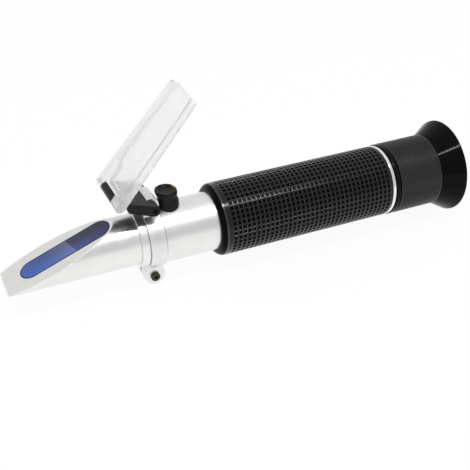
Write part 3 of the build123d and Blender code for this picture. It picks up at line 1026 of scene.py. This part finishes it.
@dataclass
class EyepieceEnd(SubAssembly):
    """The bright ring and the smooth black lip behind the grip."""

    ring_bore: float = 12.22
    ring_round: float = 0.25
    lip_round: float = 0.95
    lip_reach: float = 14.0
    steps: int = 160

    def build(self) -> list[bpy.types.Object]:
        """Make the ring and the lip.

        Returns:
            The ring and the lip.
        """
        low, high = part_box("trim_ring")
        front, end, radius = low.x / MM, high.x / MM, high.z / MM
        ring = turned(
            [(front, self.ring_bore), (front, radius), (end, radius), (end, self.ring_bore)],
            self.steps,
        )
        soften(ring, self.ring_round, segments=3)
        lip = loose_copy("eyepiece_mount")
        soften(lip, self.lip_round, segments=7, beyond_radius=self.lip_reach)
        return [
            put(ring, "bright_ring", "housing", BRIGHT_RING, ["trim_ring"]),
            put(
                lip, "eyepiece_carrier", "housing", LIP_PLASTIC,
                ["eyepiece_mount"],
            ),
        ]


@dataclass
class FocusRing(SubAssembly):
    """The knurled ring that focuses the eyepiece."""

    guide_bore: float = 11.7
    web_bore: float = 8.85
    web_front: float = -12.5
    web_end: float = -10.65
    socket_bore: float = 12.42
    end_round: float = 0.4
    front_land: float = 0.5
    rear_land: float = 0.9
    ribs: int = 170
    groove_depth: float = 0.16
    groove_run: float = 0.05
    skin: float = 1.0

    def build(self) -> list[bpy.types.Object]:
        """Make the ring and cut its grooves.

        Returns:
            The ring.
        """
        low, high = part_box("focus_ring")
        front, end, radius = low.x / MM, high.x / MM, high.z / MM
        knurl_front = front + self.front_land
        knurl_end = end - self.rear_land
        mesh = turned(
            [
                (front, self.guide_bore),
                (front, radius - self.end_round),
                (front + self.end_round, radius),
                (knurl_front, radius),
                (knurl_end, radius),
                (end - self.end_round, radius),
                (end, radius - self.end_round),
                (end, self.socket_bore),
                (self.web_end, self.socket_bore),
                (self.web_end, self.web_bore),
                (self.web_front, self.web_bore),
                (self.web_front, self.guide_bore),
            ],
            2 * self.ribs,
        )
        strips = []
        for face in mesh.faces:
            place = face.calc_center_median()
            turn = atan2(place.y, place.z) / pi * self.ribs
            in_knurl = knurl_front * MM < place.x < knurl_end * MM
            outside = place.yz.length > (radius - self.skin) * MM
            if in_knurl and outside and floor(turn) % 2 == 0:
                strips.append(face)
        bmesh.ops.inset_individual(
            mesh, faces=strips, thickness=self.groove_run * MM, depth=-self.groove_depth * MM
        )
        return [
            put(mesh, "focus_knurl", "focus", FOCUS_PLASTIC, ["focus_ring"])
        ]


@dataclass
class Eyecup(SubAssembly):
    """The flared glossy cup."""

    throat_radius: float = 10.6
    spigot_radius: float = 12.4
    spigot_length: float = 1.9
    neck_radius: float = 13.6
    cup_length: float = 8.7
    land_radius: float = 15.9
    land_depth: float = 3.0
    rim_thickness: float = 0.7
    edge_round: float = 0.3
    steps: int = 200

    def build(self) -> list[bpy.types.Object]:
        """Make the cup.

        Returns:
            The cup.
        """
        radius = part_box("eyecup")[1].z / MM
        neck = -self.cup_length
        spigot = neck - self.spigot_length
        mesh = turned(
            [
                (spigot, self.throat_radius),
                (spigot, self.spigot_radius),
                (neck, self.spigot_radius),
                (neck, self.neck_radius),
                (-self.rim_thickness, radius),
                (0, radius),
                (0, self.land_radius),
                (-self.land_depth, self.land_radius),
                (neck, self.throat_radius),
            ],
            self.steps,
        )
        soften(mesh, self.edge_round, sharper_than=20.0, segments=4)
        return [
            put(mesh, "flared_eyecup", "focus", GLOSS_RUBBER, ["eyecup"])
        ]


@dataclass
class Inside(SubAssembly):
    """What the tubes hide."""

    def build(self) -> list[bpy.types.Object]:
        """Finish the inner nodes.

        Returns:
            Nothing, since all of them are carried over.
        """
        dress(
            INNER_METAL, "inner_tube", "lens_cell", "light_baffle", "reticle_holder", "reticle_ring"
        )
        dress(BLACK_METAL, "lens_barrel", "objective_ring", "lens_spacer", "eye_lens_ring")
        dress(STEEL, "guide_posts", "strip_rivet", "barrel_clip", "guide_pin")
        dress(BRASS, "temperature_strip")
        dress(LENS_GLASS, "objective_lens", "reticle", "field_lens", "eye_lens")
        dress(SEAL, "barrel_seal_ring")
        return []


# Studio


def facing(place: Sequence[float], aim: Sequence[float]) -> Euler:
    """Turn a lamp or camera towards a point.

    Args:
        place: where it is.
        aim: the point.

    Returns:
        Its rotation.
    """
    return (Vector(aim) - Vector(place)).to_track_quat("-Z", "Y").to_euler()


@dataclass(frozen=True)
class Lamp:
    """A flat lamp that faces a point."""

    name: str
    place: tuple[float, float, float]
    aim: tuple[float, float, float]
    width: float
    height: float
    power: float

    def hang(self) -> None:
        """Add the lamp to the scene."""
        light = bpy.data.lights.new(self.name, "AREA")
        light.shape = "RECTANGLE"
        light.size, light.size_y = self.width, self.height
        light.energy = self.power
        lamp = bpy.data.objects.new(self.name, light)
        lamp.location = self.place
        lamp.rotation_euler = facing(self.place, self.aim)
        bpy.context.scene.collection.objects.link(lamp)


@dataclass(frozen=True)
class Studio:
    """The camera, the floor, the room's light and the lamps."""

    camera_place: tuple[float, float, float] = (-0.21878, -0.27887, 0.19515)
    camera_aim: tuple[float, float, float] = (-0.09345, 0.0, -0.00952)
    lens: float = 72.77
    sensor: float = 36.0
    clip_start: float = 0.01
    floor_height: float = -0.01895
    floor_size: float = 6.0
    floor_white: float = 0.94
    paper: float = 0.93
    wall_turn: tuple[float, float] = (-0.45, 0.0)
    near_wall: float = 0.64
    far_wall: float = 0.78
    lamps: tuple[Lamp, ...] = (
        Lamp("strip", (-0.09, -0.23, 0.60), (-0.09, 0.0, 0.0), 0.60, 0.022, 2.0),
    )

    def paint_room(self) -> None:
        """Light the room from a pale wall on the +Y side and a darker one on the -Y side."""
        world = bpy.data.worlds.new("room")
        bpy.context.scene.world = world
        graph = NodeGraph(world)
        coordinates = graph.add("ShaderNodeTexCoord")
        parts = graph.add("ShaderNodeSeparateXYZ", {"Vector": coordinates.outputs["Generated"]})
        walls = (self.near_wall, self.far_wall)
        light = graph.remap(parts.outputs["Y"], self.wall_turn, walls, eased=True)
        background = graph.add("ShaderNodeBackground", {"Color": solid(WHITE), "Strength": light})
        graph.add("ShaderNodeOutputWorld", {"Surface": background.outputs["Background"]})

    def lay_floor(self) -> None:
        """Lay the pale floor under the instrument."""
        mesh = bmesh.new()
        bmesh.ops.create_grid(mesh, x_segments=1, y_segments=1, size=self.floor_size / 2)
        bmesh.ops.translate(mesh, vec=(0, 0, self.floor_height), verts=mesh.verts)
        data = bpy.data.meshes.new("floor")
        mesh.to_mesh(data)
        mesh.free()
        paper = bpy.data.materials.new("finish_floor_paper")
        graph = NodeGraph(paper)
        rays = graph.add("ShaderNodeLightPath")
        seen = rays.outputs["Is Camera Ray"]
        for ray in ("Is Glossy Ray", "Is Transmission Ray"):
            seen = graph.add(
                "ShaderNodeMath", {0: seen, 1: rays.outputs[ray]}, operation="MAXIMUM"
            ).outputs["Value"]
        share = graph.add("ShaderNodeMath", {0: seen, 1: self.floor_white}, operation="MULTIPLY")
        matt = graph.add("ShaderNodeBsdfDiffuse", {"Color": solid((self.paper,) * 3)})
        white = graph.add("ShaderNodeEmission", {"Color": solid(WHITE), "Strength": 1.0})
        mixed = graph.add(
            "ShaderNodeMixShader",
            {0: share.outputs["Value"], 1: matt.outputs["BSDF"], 2: white.outputs["Emission"]},
        )
        graph.add("ShaderNodeOutputMaterial", {"Surface": mixed.outputs["Shader"]})
        data.materials.append(paper)
        floor = bpy.data.objects.new("floor", data)
        bpy.context.scene.collection.objects.link(floor)

    def mount_camera(self) -> None:
        """Put the camera at the photograph's place."""
        data = bpy.data.cameras.new("camera")
        data.lens = self.lens
        data.sensor_width = self.sensor
        data.clip_start = self.clip_start
        camera = bpy.data.objects.new("camera", data)
        camera.location = self.camera_place
        camera.rotation_euler = facing(self.camera_place, self.camera_aim)
        bpy.context.scene.collection.objects.link(camera)
        bpy.context.scene.camera = camera

    def set_up(self) -> None:
        """Build the whole studio."""
        bpy.context.scene.view_settings.view_transform = "Standard"
        self.paint_room()
        self.lay_floor()
        for lamp in self.lamps:
            lamp.hang()
        self.mount_camera()


def main() -> None:
    """Build the instrument and its studio."""
    logging.basicConfig(level=logging.INFO, format="%(name)s %(message)s")
    for part in (
        Nose("nose"),
        Tube("tube"),
        Clamp("clamp"),
        Hinge("hinge"),
        DaylightPlate("daylight plate"),
        CalibrationCap("calibration cap"),
        Grip("grip"),
        EyepieceEnd("eyepiece end"),
        FocusRing("focus ring"),
        Eyecup("eyecup"),
        Inside("inside"),
    ):
        part.assemble()
    Studio().set_up()


if __name__ == "__main__":
    main()
